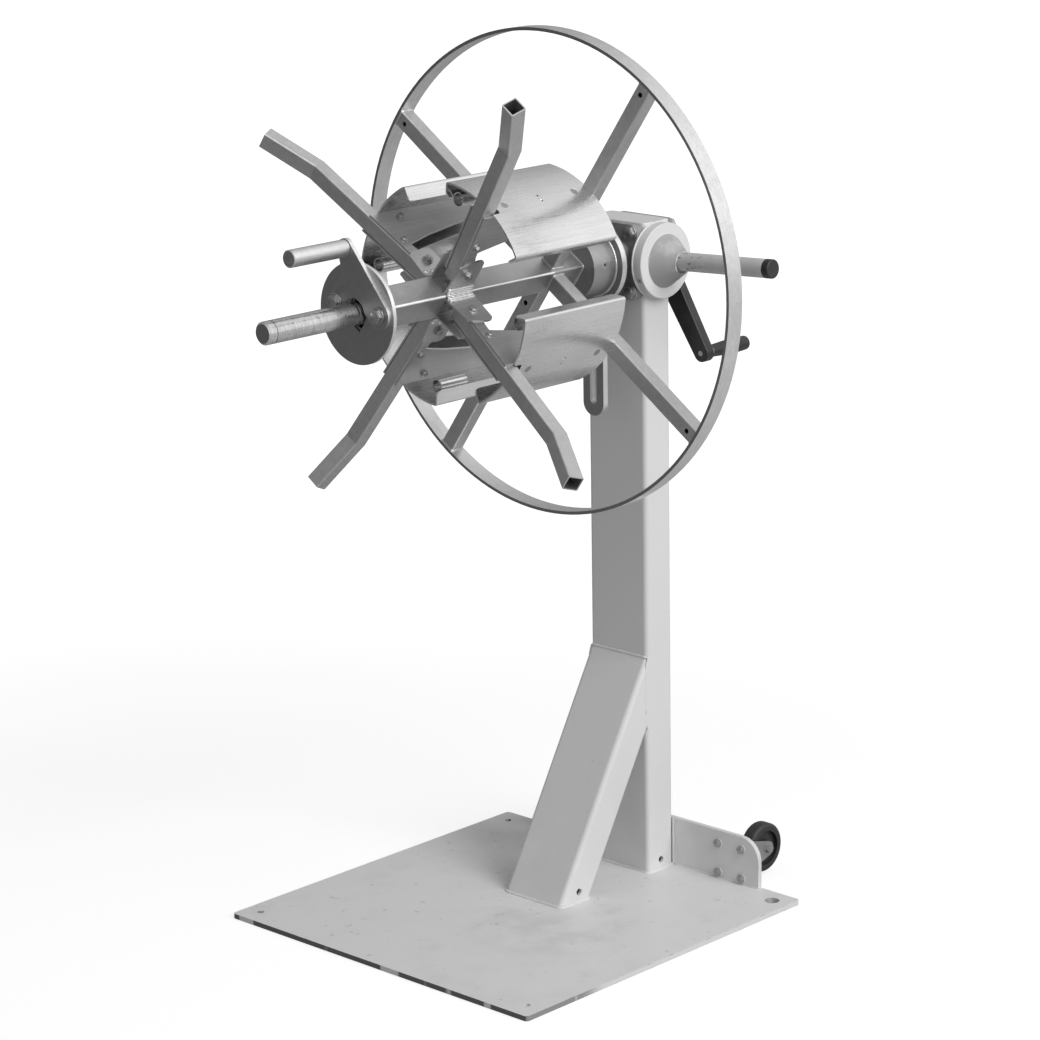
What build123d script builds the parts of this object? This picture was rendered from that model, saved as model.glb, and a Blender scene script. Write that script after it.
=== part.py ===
from build123d import *
import os
from math import asin, atan2, cos, degrees, radians, sin, sqrt, tan

os.makedirs("parts", exist_ok=True)

# Frame: origin in the middle of the underside of the base plate, +Z up.
# The spindle runs along Y; its free end points to -Y, the post stands near the +Y edge.

# Base plate
plate_width = 630
plate_depth = 624
plate_thick = 8
plate_corner = 6
anchor_side_set_in = 30
anchor_end_set_in = 32
anchor_hole = 11

# Rectangular hollow section of post and brace
tube_width = 120
tube_depth = 60
tube_wall = 5
tube_corner = 8
cap_thick = 6
cap_edge = 2
brace_tilt = 30
brace_foot_reach = 208
vent_hole = 11
vent_height = 16
brace_vent_set_back = 43

# Wheel bracket and the two fixed castors
bracket_thick = 8
bracket_right = 237
bracket_left = 227
bracket_height = 79
bracket_corner = 36
castor_set_in = 58
castor_height = 42
castor_bolt_span = 48
castor_bolt = 8
castor_plate_width = 68
castor_plate_height = 66
castor_plate_thick = 3
castor_rise = 68
castor_leg_thick = 2.5
castor_leg_root = 58
castor_leg_end = 12
wheel_dia = 80
wheel_width = 24
wheel_hub_dia = 26
wheel_web = 10
wheel_groove_share = 0.7
wheel_lift = 5
wheel_gap = 1.5
axle_dia = 8

# Spindle and its bearings
spindle_height = 1000
spindle_above = 60
spindle_dia = 34
spindle_chamfer = 3
spindle_nose = 176
spindle_groove_dia = 32
spindle_groove_width = 2
spindle_tail_dia = 20
bore_gap = 0.2
bearing_flange = 117
bearing_flange_corner = 14
bearing_bolt_span = 92
bearing_bolt = 12
front_bearing_flange_thick = 15
front_bearing_thick = 31
rear_bearing_flange_thick = 12
rear_bearing_thick = 26
bearing_boss_dia = 92
bearing_boss_taper = 3
bearing_bore = 63
race_dia = 50
race_shield_thick = 14
running_gap = 0.4

# Reel: square hub tube with a sleeve over its front half, front disc, driver
hub_width = 40
hub_wall = 2
hub_corner = 3
hub_turn = 55
hub_screw = 8
hub_screw_y = -135
sleeve_width = 45
sleeve_gap = 0.25
sleeve_corner = 4
disc_front = -309
disc_dia = 150
disc_thick = 6
disc_opening = 39
bush_length = 25
bush_set_in = 22
barrel_dia = 100
barrel_length = 49
driver_thick = 10
driver_disc_dia = 126
driver_gap = 12
driver_arm_width = 42
driver_arm_reach = 240
driver_slot_width = 13
driver_slot_inner = 140
driver_slot_outer = 214
set_screw_dia = 10
set_screw_angle = 7
set_screw_socket = 5
set_screw_sink = 1

# Front crank on the disc
crank_plate_thick = 7
crank_grip_x = -15
crank_grip_z = 94
crank_right_foot = (51, 4)
crank_left_foot = (-36, 15)
crank_right_foot_r = 20
crank_left_foot_r = 13
crank_top_r = 14.3
crank_kink = (-18, 53)
crank_kink_r = 2
crank_waist = (20, 42)
crank_waist_r = 5
crank_arch_r = 23.5
crank_bolt = 12
front_grip_dia = 26
front_grip_length = 108
grip_pin_dia = 12
grip_pin_head_dia = 20
grip_pin_head_thick = 4
grip_gap = 0.5

# Rear crank
rear_crank_radius = 180
rear_crank_angle = 302
rear_crank_hub_r = 20
rear_crank_end_r = 14
rear_crank_thick = 17.5
rear_crank_gap = 3.5
rear_grip_dia = 24
rear_grip_length = 86
rear_grip_neck_dia = 19
rear_pin_dia = 8
rear_collar_dia = 20
rear_collar_thick = 4
edge_round = 2
edge_break = 1

# Ring and rear arms
ring_dia = 740
ring_thick = 5
ring_width = 30
ring_mid = 91
arm_side = 25
arm_wall = 2
arm_corner = 2.5
rear_arm_hole = 8
rear_arm_hole_set_in = 15
lower_left_hole_r = 60

# Front arms: they lean forward from the spindle and fold about a bolt near the hub
arm_angles = (55, 145, 235, 325)
arm_reaches = (288, 289, 293, 305)
arm_lean = 7
arm_flare = 19
arm_flare_length = 92
arm_axis_y = -122.7
pivot_radius = 55
pivot_bolt = 8
pivot_clearance = 0.3
root_overhang = 20
lock_radius = 105
lock_screw = 6

# Folded brackets on the hub corners: outline of one ear as radius and y
sheet = 3
cheek_gap = 0.4
bracket_front = -158
bracket_rear = -103
ear_shoulder_r = 30
ear_front_tip = (72, -153)
ear_side = (80, -119)
ear_rear_tip = (79, -105)
ear_front_round = 3
ear_rear_round = 8

# Shells that carry the coil, and the channel leg under each
shell_dia = 340
shell_half_angle = 30
shell_front = -137
shell_lip = 24
shell_bend = 4
shell_lip_corner = 10
shell_notch_width = 28
shell_notch_depth = 15
shell_notch_corner = 4
shell_screw = 6
shell_screw_front = -102
shell_screw_rear = 47
shell_slot_y = -27
shell_slot_width = 5
shell_slot_length = 14
leg_rear = 66
leg_web_front = -120
leg_seat_gap = 0.2
leg_front_set_back = 0.6
neck_end_r = 43
neck_rear = ((43, -130), (47, -123), (55, -121), (78, -124), (95, -130))
leg_inner = ((107, -82), (128, 52))
leg_end_r = 140
stub_dia = 21
stub_wall = 1.2
stub_length = 55
stub_front = -124
stub_set_in = 25

# Side handles on the post
boss_dia = 117
boss_thick = 18
cone_base_dia = 84
cone_tip_dia = 39
cone_length = 32
handle_dia = 29
handle_wall = 3
handle_length = 212
handle_rise = 3
handle_cap_thick = 12
handle_cap_plug = 15
handle_cap_gap = 0.2
boss_screw_hole = 8
boss_screw_depth = 14
boss_screw_angle = 205
rod_seat = 6

# Fasteners: head height and nut height are shares of the thread
head_share = 0.65
nut_share = 0.8
thread_end_share = 0.2
flats_share = 1.55
hole_clearance = 1

# Places worked out from the sizes above
anchor_span_x = plate_width - 2 * anchor_side_set_in
anchor_span_y = plate_depth - 2 * anchor_end_set_in
castor_x = bracket_right - castor_set_in
bracket_width = bracket_left + bracket_right
post_rear = plate_depth / 2 - bracket_thick
post_front = post_rear - tube_depth
post_mid = (post_front + post_rear) / 2
post_top = spindle_height + spindle_above
front_bearing_face = post_front - front_bearing_thick
rear_bearing_face = post_rear + rear_bearing_thick
driver_rear = front_bearing_face - driver_gap
driver_front = driver_rear - driver_thick
barrel_front = driver_front - barrel_length
disc_rear = disc_front + disc_thick
crank_plate_front = disc_front - crank_plate_thick
spindle_front = crank_plate_front - spindle_nose
rear_crank_front = rear_bearing_face + rear_crank_gap
stub_radius = shell_dia / 2 - stub_set_in
rear_crank_rear = rear_crank_front + rear_crank_thick
set_screw_length = (barrel_dia - spindle_dia) / 2 - set_screw_sink
cheek_inner = arm_side / 2 + cheek_gap
cheek_outer = cheek_inner + sheet
ear_outer = cheek_outer + sheet
hub_half = hub_width / 2
sleeve_inner = hub_width + 2 * sleeve_gap
shell_inner_r = shell_dia / 2 - sheet
leg_top = sqrt(shell_inner_r**2 - cheek_outer**2) - leg_seat_gap
shell_rear = ring_mid - arm_side / 2
pivot_y = arm_axis_y - pivot_radius * tan(radians(arm_lean))
lock_y = arm_axis_y - lock_radius * tan(radians(arm_lean))
arm_face_y = arm_axis_y - arm_side / 2 / cos(radians(arm_lean))
wheel_z = wheel_dia / 2 + wheel_lift
wheel_y = plate_depth / 2 + castor_rise


def save(piece, name):
    """Label a finished piece and write it under the same name."""
    piece.part.label = name
    export_step(piece.part, "parts/" + name + ".step")


def outward(angle):
    """Unit vector from the spindle axis at an angle from +X towards +Z."""
    return Vector(cos(radians(angle)), 0, sin(radians(angle)))


def across(angle):
    """Unit vector square to outward(angle), towards larger angles."""
    return Vector(-sin(radians(angle)), 0, cos(radians(angle)))


def side_plane(angle, offset=0):
    """Plane of one arm: local x runs outward from the spindle, local y along +Y."""
    origin = Vector(0, 0, spindle_height) + across(angle) * offset
    return Plane(origin=origin, x_dir=outward(angle), z_dir=across(angle))


def section_plane(angle, y):
    """Plane square to the spindle at y: local x runs outward, local y across; it faces -Y."""
    return Plane(origin=(0, y, spindle_height), x_dir=outward(angle), z_dir=(0, -1, 0))


def front_plane(y):
    """Plane square to the spindle at y: local x is X, local y is Z from the spindle; it faces -Y."""
    return section_plane(0, y)


def spot(plane, x, y):
    """The same plane with its origin moved to a local point."""
    return Plane(plane * Pos(x, y, 0))


def spot_on_shell(angle, radius):
    """Plane touching a cylinder about the spindle: local y along +Y, facing outward."""
    origin = Vector(0, 0, spindle_height) + outward(angle) * radius
    return Plane(origin=origin, x_dir=across(angle) * -1, z_dir=outward(angle))


def hex_screw(seat, size, length):
    """Hex screw with its head on the seat plane and its shank below it."""
    with BuildPart() as screw:
        with BuildSketch(seat):
            RegularPolygon(size * flats_share / 2, 6, major_radius=False)
        extrude(amount=size * head_share)
        with BuildSketch(seat):
            Circle(size / 2)
        extrude(amount=-length)
    return screw.part


def hex_bolt(seat, size, grip):
    """Hex screw that ends in a nut beyond the grip."""
    screw = hex_screw(seat, size, grip + size * (nut_share + thread_end_share))
    with BuildPart() as bolt:
        add(screw)
        with BuildSketch(seat.offset(-grip)):
            RegularPolygon(size * flats_share / 2, 6, major_radius=False)
        extrude(amount=-size * nut_share)
    return bolt.part


def square_tube_face(side, wall, corner):
    """Square hollow section drawn in the current sketch."""
    RectangleRounded(side, side, corner)
    RectangleRounded(side - 2 * wall, side - 2 * wall, max(corner - wall, wall / 4), mode=Mode.SUBTRACT)


# Base plate with four anchor holes, the rear right one countersunk
with BuildPart() as base_plate:
    with BuildSketch():
        RectangleRounded(plate_width, plate_depth, plate_corner)
        with GridLocations(anchor_span_x, anchor_span_y, 2, 2):
            Circle(anchor_hole / 2, mode=Mode.SUBTRACT)
    extrude(amount=plate_thick)
    with Locations((anchor_span_x / 2, anchor_span_y / 2, plate_thick)):
        CounterSinkHole(anchor_hole / 2, anchor_hole)
save(base_plate, "base_plate")

# Post: hollow section with spindle openings, bearing bolt holes and a drain hole near the foot
with BuildPart() as post:
    with BuildSketch(Plane.XY.offset(plate_thick)):
        with Locations((0, post_mid)):
            RectangleRounded(tube_width, tube_depth, tube_corner)
            RectangleRounded(
                tube_width - 2 * tube_wall,
                tube_depth - 2 * tube_wall,
                tube_corner - tube_wall,
                mode=Mode.SUBTRACT,
            )
    extrude(amount=post_top - cap_thick - plate_thick)
    with BuildSketch(front_plane(post_mid)):
        Circle(bearing_bore / 2)
        with GridLocations(bearing_bolt_span, bearing_bolt_span, 2, 2):
            Circle((bearing_bolt + hole_clearance) / 2)
    extrude(amount=tube_depth, both=True, mode=Mode.SUBTRACT)
    with BuildSketch(Plane.YZ.offset(tube_width / 2)):
        with Locations((post_mid, plate_thick + vent_height)):
            Circle(vent_hole / 2)
    extrude(amount=-2 * tube_wall, mode=Mode.SUBTRACT)
save(post, "post")

with BuildPart() as post_cap:
    with BuildSketch(Plane.XY.offset(post_top - cap_thick)):
        with Locations((0, post_mid)):
            RectangleRounded(tube_width, tube_depth, tube_corner)
    extrude(amount=cap_thick)
    fillet(post_cap.faces().sort_by(Axis.Z)[-1].edges(), cap_edge)
save(post_cap, "post_cap")

# Brace: the same hollow section, leaning from the plate to the post and cut to both
brace_level = tube_depth / cos(radians(brace_tilt))
brace_foot_mid = post_front - brace_foot_reach + brace_level / 2
brace_axis = Vector(0, sin(radians(brace_tilt)), cos(radians(brace_tilt)))
brace_run = 2 * brace_foot_reach / sin(radians(brace_tilt))
with BuildPart() as brace:
    with BuildSketch(Plane(origin=(0, brace_foot_mid, plate_thick), x_dir=(1, 0, 0), z_dir=brace_axis)):
        RectangleRounded(tube_width, tube_depth, tube_corner)
        RectangleRounded(
            tube_width - 2 * tube_wall,
            tube_depth - 2 * tube_wall,
            tube_corner - tube_wall,
            mode=Mode.SUBTRACT,
        )
    extrude(amount=brace_run, both=True)
    split(bisect_by=Plane.XY.offset(plate_thick), keep=Keep.TOP)
    split(bisect_by=Plane.XZ.offset(-post_front), keep=Keep.TOP)
    with BuildSketch(Plane.YZ.offset(tube_width / 2)):
        with Locations((post_front - brace_foot_reach + brace_vent_set_back, plate_thick + vent_height)):
            Circle(vent_hole / 2)
    extrude(amount=-2 * tube_wall, mode=Mode.SUBTRACT)
save(brace, "brace")

# Wheel bracket: upright plate along the rear edge of the base plate
castor_bolt_places = [
    (side * castor_x + along * castor_bolt_span / 2, castor_height + rise * castor_bolt_span / 2)
    for side in (-1, 1)
    for along in (-1, 1)
    for rise in (-1, 1)
]
with BuildPart() as wheel_bracket:
    with BuildSketch(Plane.XZ.offset(-post_rear)) as bracket_face:
        with Locations(((bracket_right - bracket_left) / 2, plate_thick + bracket_height / 2)):
            Rectangle(bracket_width, bracket_height)
        fillet(bracket_face.vertices().group_by(Axis.Y)[-1], bracket_corner)
        with Locations(castor_bolt_places):
            Circle((castor_bolt + hole_clearance) / 2, mode=Mode.SUBTRACT)
    extrude(amount=-bracket_thick)
save(wheel_bracket, "wheel_bracket")

with BuildPart() as castor_bolts:
    add(
        [
            hex_bolt(spot(Plane.XZ.offset(-post_rear), x, z), castor_bolt, bracket_thick + castor_plate_thick)
            for x, z in castor_bolt_places
        ]
    )
save(castor_bolts, "castor_bolts")


def castor_fork(x):
    """Pressed fork: plate on the rear of the bracket and two legs tapering to the axle."""
    plate_y = plate_depth / 2
    leg_inner = wheel_width / 2 + wheel_gap
    with BuildPart() as fork:
        with BuildSketch(Plane.XZ.offset(-plate_y)):
            with Locations((x, castor_height)):
                RectangleRounded(castor_plate_width, castor_plate_height, castor_bolt)
                with GridLocations(castor_bolt_span, castor_bolt_span, 2, 2):
                    Circle((castor_bolt + hole_clearance) / 2, mode=Mode.SUBTRACT)
        extrude(amount=-castor_plate_thick)
        for side in (-1, 1):
            with BuildSketch(Plane.YZ.offset(x + side * leg_inner)) as leg:
                with Locations((wheel_y, wheel_z)):
                    Circle(castor_leg_end)
                with BuildLine():
                    root = plate_y + castor_plate_thick / 2
                    Polyline(
                        (root, castor_height - castor_leg_root / 2),
                        (root, castor_height + castor_leg_root / 2),
                        (root + castor_leg_end, castor_height + castor_leg_root / 2),
                        (root + castor_leg_end, castor_height - castor_leg_root / 2),
                        close=True,
                    )
                make_face()
                make_hull()
                with Locations((wheel_y, wheel_z)):
                    Circle((axle_dia + hole_clearance / 2) / 2, mode=Mode.SUBTRACT)
            extrude(amount=side * castor_leg_thick)
    return fork


def wheel(x):
    """Wheel turned about X: tread with rounded shoulders, recessed web and hub."""
    half = wheel_width / 2
    rim = wheel_dia / 2
    groove = rim * wheel_groove_share
    bore = axle_dia / 2 + running_gap
    with BuildPart() as turned:
        wheel_plane = Plane(origin=(x, wheel_y, wheel_z), x_dir=(1, 0, 0), z_dir=(0, -1, 0))
        with BuildSketch(wheel_plane) as half_section:
            with Locations((0, (rim + bore) / 2)):
                Rectangle(wheel_width, rim - bore)
            fillet(half_section.vertices().group_by(Axis.Z)[-1], half / 2)
            for side in (-1, 1):
                with Locations((side * half, (groove + wheel_hub_dia / 2) / 2)):
                    Rectangle(wheel_width - wheel_web, groove - wheel_hub_dia / 2, mode=Mode.SUBTRACT)
        revolve(axis=Axis((x, wheel_y, wheel_z), (1, 0, 0)))
    return turned


for name, side in (("left", -1), ("right", 1)):
    fork = castor_fork(side * castor_x)
    save(fork, "castor_fork_" + name)
    turned = wheel(side * castor_x)
    save(turned, "wheel_" + name)

# Castor axles: bolts across the forks
axle_grip = wheel_width + 2 * wheel_gap + 2 * castor_leg_thick
with BuildPart() as castor_axles:
    add(
        [
            hex_bolt(
                spot(Plane.YZ.offset(side * castor_x + axle_grip / 2), wheel_y, wheel_z), axle_dia, axle_grip
            )
            for side in (-1, 1)
        ]
    )
save(castor_axles, "castor_axles")


def bearing_housing(seat, flange_thick, thick):
    """Square flange bearing housing standing on the seat plane, with a tapered boss and a race bore."""
    with BuildPart() as housing:
        with BuildSketch(seat):
            RectangleRounded(bearing_flange, bearing_flange, bearing_flange_corner)
        extrude(amount=flange_thick)
        with BuildSketch(seat.offset(flange_thick)):
            Circle(bearing_boss_dia / 2)
        extrude(amount=thick - flange_thick, taper=bearing_boss_taper)
        with BuildSketch(seat):
            Circle(bearing_bore / 2)
        extrude(amount=thick, mode=Mode.SUBTRACT)
        with BuildSketch(seat):
            with GridLocations(bearing_bolt_span, bearing_bolt_span, 2, 2):
                Circle((bearing_bolt + hole_clearance) / 2)
        extrude(amount=flange_thick, mode=Mode.SUBTRACT)
    return housing


def race(seat, thick):
    """Inner race with its seal ring, turning with the spindle inside the housing."""
    with BuildPart() as ring_pair:
        with BuildSketch(seat):
            Circle(race_dia / 2)
        extrude(amount=thick)
        with BuildSketch(seat.offset((thick - race_shield_thick) / 2)):
            Circle(bearing_bore / 2 - running_gap)
        extrude(amount=race_shield_thick)
        with BuildSketch(seat):
            Circle(spindle_dia / 2 + bore_gap)
        extrude(amount=thick, mode=Mode.SUBTRACT)
    return ring_pair.part


front_seat = front_plane(post_front)
rear_seat = Plane(origin=(0, post_rear, spindle_height), x_dir=(-1, 0, 0), z_dir=(0, 1, 0))
front_bearing = bearing_housing(front_seat, front_bearing_flange_thick, front_bearing_thick)
save(front_bearing, "front_bearing")
rear_bearing = bearing_housing(rear_seat, rear_bearing_flange_thick, rear_bearing_thick)
save(rear_bearing, "rear_bearing")

with BuildPart() as bearing_races:
    add([race(front_seat, front_bearing_thick), race(rear_seat, rear_bearing_thick)])
save(bearing_races, "bearing_races")

half_span = bearing_bolt_span / 2
bearing_bolt_places = [(x * half_span, z * half_span) for x in (-1, 1) for z in (-1, 1)]
bearing_bolt_list = [
    hex_screw(spot(seat.offset(flange), x, z), bearing_bolt, flange + bearing_bolt)
    for seat, flange in ((front_seat, front_bearing_flange_thick), (rear_seat, rear_bearing_flange_thick))
    for x, z in bearing_bolt_places
]
with BuildPart() as bearing_bolts:
    add(bearing_bolt_list)
save(bearing_bolts, "bearing_bolts")

# Spindle: solid bar with a turned-down tail for the rear crank
with BuildPart() as spindle:
    with BuildSketch(front_plane(rear_crank_front)):
        Circle(spindle_dia / 2)
    extrude(amount=rear_crank_front - spindle_front)
    chamfer(spindle.faces().sort_by(Axis.Y)[0].edges(), spindle_chamfer)
    with BuildSketch(front_plane(rear_crank_rear)):
        Circle(spindle_tail_dia / 2)
    extrude(amount=rear_crank_thick)
    with BuildSketch(front_plane(crank_plate_front)):
        Circle(spindle_dia / 2 + bore_gap)
        Circle(spindle_groove_dia / 2, mode=Mode.SUBTRACT)
    extrude(amount=spindle_groove_width, mode=Mode.SUBTRACT)
save(spindle, "spindle")

# Hub tube on two bushes, turned so that its faces look at the four arms, with a sleeve in front
with BuildPart() as hub_tube:
    with BuildSketch(section_plane(hub_turn, barrel_front)):
        square_tube_face(hub_width, hub_wall, hub_corner)
    extrude(amount=barrel_front - disc_rear)
    for angle in arm_angles:
        with BuildSketch(spot(spot_on_shell(angle, hub_half), 0, hub_screw_y)):
            Circle(hub_screw / 2 + bore_gap)
        extrude(amount=-2 * hub_wall, mode=Mode.SUBTRACT)
save(hub_tube, "hub_tube")

with BuildPart() as hub_sleeve:
    with BuildSketch(section_plane(hub_turn, bracket_front)):
        RectangleRounded(sleeve_width, sleeve_width, sleeve_corner)
        Rectangle(sleeve_inner, sleeve_inner, mode=Mode.SUBTRACT)
    extrude(amount=bracket_front - disc_rear)
save(hub_sleeve, "hub_sleeve")

bush_side = hub_width - 2 * hub_wall - 2 * bore_gap
with BuildPart() as hub_bushes:
    for rear_face in (disc_rear + bush_set_in + bush_length, barrel_front):
        with BuildSketch(section_plane(hub_turn, rear_face)):
            RectangleRounded(bush_side, bush_side, hub_corner - hub_wall)
            Circle(spindle_dia / 2 + bore_gap, mode=Mode.SUBTRACT)
        extrude(amount=bush_length)
save(hub_bushes, "hub_bushes")

with BuildPart() as front_disc:
    with BuildSketch(front_plane(disc_rear)):
        Circle(disc_dia / 2)
        with Locations(Rotation(0, 0, hub_turn)):
            Rectangle(disc_opening, disc_opening, mode=Mode.SUBTRACT)
        with Locations(crank_right_foot, crank_left_foot):
            Circle((crank_bolt + hole_clearance) / 2, mode=Mode.SUBTRACT)
    extrude(amount=disc_thick)
save(front_disc, "front_disc")

# Crank plate: two feet astride the spindle and one arm up to the grip
with BuildPart() as crank_plate:
    with BuildSketch(front_plane(disc_front)):
        with Locations((crank_grip_x, crank_grip_z)):
            Circle(crank_top_r)
        with Locations(crank_right_foot):
            Circle(crank_right_foot_r)
        with Locations(crank_kink):
            Circle(crank_kink_r)
        make_hull()
    extrude(amount=crank_plate_thick)
    with BuildSketch(front_plane(disc_front)):
        with Locations(crank_left_foot):
            Circle(crank_left_foot_r)
        with Locations(crank_kink):
            Circle(crank_kink_r)
        with Locations(crank_waist):
            Circle(crank_waist_r)
        make_hull()
    extrude(amount=crank_plate_thick)
    with BuildSketch(front_plane(disc_front)):
        Circle(crank_arch_r)
        with Locations((0, -crank_arch_r)):
            Rectangle(2 * crank_arch_r, 2 * crank_arch_r)
        with Locations(crank_right_foot, crank_left_foot):
            Circle((crank_bolt + hole_clearance) / 2)
    extrude(amount=crank_plate_thick, mode=Mode.SUBTRACT)
save(crank_plate, "crank_plate")

with BuildPart() as crank_bolts:
    add(
        [
            hex_bolt(spot(front_plane(crank_plate_front), x, z), crank_bolt, crank_plate_thick + disc_thick)
            for x, z in (crank_right_foot, crank_left_foot)
        ]
    )
save(crank_bolts, "crank_bolts")


def grip_pin(seat, dia, head_dia, head_thick, reach):
    """Pin standing on the seat plane with a retaining head at its free end."""
    with BuildPart() as pin:
        with BuildSketch(seat):
            Circle(dia / 2)
        extrude(amount=reach)
        with BuildSketch(seat.offset(reach)):
            Circle(head_dia / 2)
        extrude(amount=-head_thick)
    return pin


front_grip_seat = spot(front_plane(crank_plate_front), crank_grip_x, crank_grip_z)
front_grip_pin = grip_pin(
    front_grip_seat, grip_pin_dia, grip_pin_head_dia, grip_pin_head_thick, front_grip_length
)
save(front_grip_pin, "front_grip_pin")

with BuildPart() as front_grip:
    with BuildSketch(front_grip_seat.offset(grip_gap)):
        Circle(front_grip_dia / 2)
        Circle(grip_pin_dia / 2 + running_gap, mode=Mode.SUBTRACT)
    extrude(amount=front_grip_length - grip_gap)
    with BuildSketch(front_grip_seat.offset(front_grip_length)):
        Circle(grip_pin_head_dia / 2 + running_gap)
    extrude(amount=-(grip_pin_head_thick + grip_gap), mode=Mode.SUBTRACT)
    chamfer(front_grip.faces().sort_by(Axis.Y)[0].outer_wire().edges(), edge_break)
save(front_grip, "front_grip")

# Driver behind the hub tube: barrel with a set screw, plate with a slotted arm
barrel_mid = Vector(0, driver_front - barrel_length / 2, spindle_height)
with BuildPart() as driver_barrel:
    with BuildSketch(front_plane(driver_front)):
        Circle(barrel_dia / 2)
        Circle(spindle_dia / 2 + bore_gap, mode=Mode.SUBTRACT)
    extrude(amount=barrel_length)
    with BuildSketch(Plane(origin=barrel_mid, z_dir=outward(set_screw_angle))):
        Circle(set_screw_dia / 2 + bore_gap)
    extrude(amount=barrel_dia, mode=Mode.SUBTRACT)
save(driver_barrel, "driver_barrel")

set_screw_seat = Plane(
    origin=barrel_mid + outward(set_screw_angle) * (spindle_dia / 2 + bore_gap),
    z_dir=outward(set_screw_angle),
)
with BuildPart() as driver_screw:
    with BuildSketch(set_screw_seat):
        Circle(set_screw_dia / 2)
    extrude(amount=set_screw_length)
    with BuildSketch(set_screw_seat.offset(set_screw_length)):
        RegularPolygon(set_screw_socket / 2, 6, major_radius=False)
    extrude(amount=-set_screw_socket, mode=Mode.SUBTRACT)
save(driver_screw, "driver_screw")

driver_slot_length = driver_slot_outer - driver_slot_inner
with BuildPart() as driver_plate:
    with BuildSketch(front_plane(driver_rear)):
        Circle(driver_disc_dia / 2)
        with Locations((0, -(driver_arm_reach - driver_arm_width / 2) / 2)):
            Rectangle(driver_arm_width, driver_arm_reach - driver_arm_width / 2)
        with Locations((0, -(driver_arm_reach - driver_arm_width / 2))):
            Circle(driver_arm_width / 2)
        Circle(spindle_dia / 2 + bore_gap, mode=Mode.SUBTRACT)
        with Locations((0, -(driver_slot_inner + driver_slot_outer) / 2)):
            SlotCenterToCenter(driver_slot_length, driver_slot_width, rotation=90, mode=Mode.SUBTRACT)
    extrude(amount=driver_thick)
save(driver_plate, "driver_plate")

# Rear crank: tapered arm on the spindle tail, revolving grip on a pin
rear_grip_x = rear_crank_radius * cos(radians(rear_crank_angle))
rear_grip_z = rear_crank_radius * sin(radians(rear_crank_angle))
with BuildPart() as rear_crank:
    with BuildSketch(front_plane(rear_crank_rear)):
        Circle(rear_crank_hub_r)
        with Locations((rear_grip_x, rear_grip_z)):
            Circle(rear_crank_end_r)
        make_hull()
    extrude(amount=rear_crank_thick)
    fillet(rear_crank.edges().group_by(Axis.Y)[0] + rear_crank.edges().group_by(Axis.Y)[-1], edge_round)
    with BuildSketch(front_plane(rear_crank_rear)):
        Circle(spindle_tail_dia / 2 + bore_gap)
        with Locations((rear_grip_x, rear_grip_z)):
            Circle(rear_pin_dia / 2 + bore_gap)
    extrude(amount=rear_crank_thick, mode=Mode.SUBTRACT)
save(rear_crank, "rear_crank")

rear_grip_seat = Plane(
    origin=(rear_grip_x, rear_crank_front, spindle_height + rear_grip_z), x_dir=(-1, 0, 0), z_dir=(0, 1, 0)
)
rear_pin_reach = rear_crank_thick + rear_collar_thick + rear_grip_length
with BuildPart() as rear_grip_pin:
    with BuildSketch(rear_grip_seat):
        Circle(rear_pin_dia / 2)
    extrude(amount=rear_pin_reach)
    with BuildSketch(rear_grip_seat.offset(rear_crank_thick)):
        Circle(rear_collar_dia / 2)
    extrude(amount=rear_collar_thick)
    with BuildSketch(rear_grip_seat.offset(rear_pin_reach)):
        Circle(rear_pin_dia)
    extrude(amount=-grip_pin_head_thick)
save(rear_grip_pin, "rear_grip_pin")

grip_start = rear_crank_thick + rear_collar_thick + grip_gap
with BuildPart() as rear_grip:
    with BuildSketch(Plane(origin=rear_grip_seat.origin, x_dir=(0, 1, 0), z_dir=(1, 0, 0))):
        with BuildLine():
            Polyline(
                (rear_pin_reach, 0),
                (grip_start, 0),
                (grip_start, rear_grip_neck_dia / 2),
            )
            Spline(
                (grip_start, rear_grip_neck_dia / 2),
                ((grip_start * 2 + rear_pin_reach) / 3, rear_grip_dia / 2 - edge_break),
                ((grip_start + rear_pin_reach * 3) / 4, rear_grip_dia / 2),
                (rear_pin_reach, rear_grip_dia / 2 - edge_break),
            )
            Line((rear_pin_reach, rear_grip_dia / 2 - edge_break), (rear_pin_reach, 0))
        make_face()
    revolve(axis=Axis(rear_grip_seat.origin, (0, 1, 0)))
    fillet(rear_grip.faces().sort_by(Axis.Y)[-1].edges(), edge_round)
    with BuildSketch(rear_grip_seat):
        Circle(rear_pin_dia / 2 + running_gap)
    extrude(amount=rear_pin_reach, mode=Mode.SUBTRACT)
    with BuildSketch(rear_grip_seat.offset(rear_pin_reach)):
        Circle(rear_pin_dia + running_gap)
    extrude(amount=-(grip_pin_head_thick + grip_gap), mode=Mode.SUBTRACT)
save(rear_grip, "rear_grip")

# Ring on four square rear arms
with BuildPart() as ring:
    with BuildSketch(front_plane(ring_mid + ring_width / 2)):
        Circle(ring_dia / 2)
        Circle(ring_dia / 2 - ring_thick, mode=Mode.SUBTRACT)
    extrude(amount=ring_width)
save(ring, "ring")

ring_inner_r = ring_dia / 2 - ring_thick
rear_arm_end = ring_inner_r - 2 * bore_gap


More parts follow.
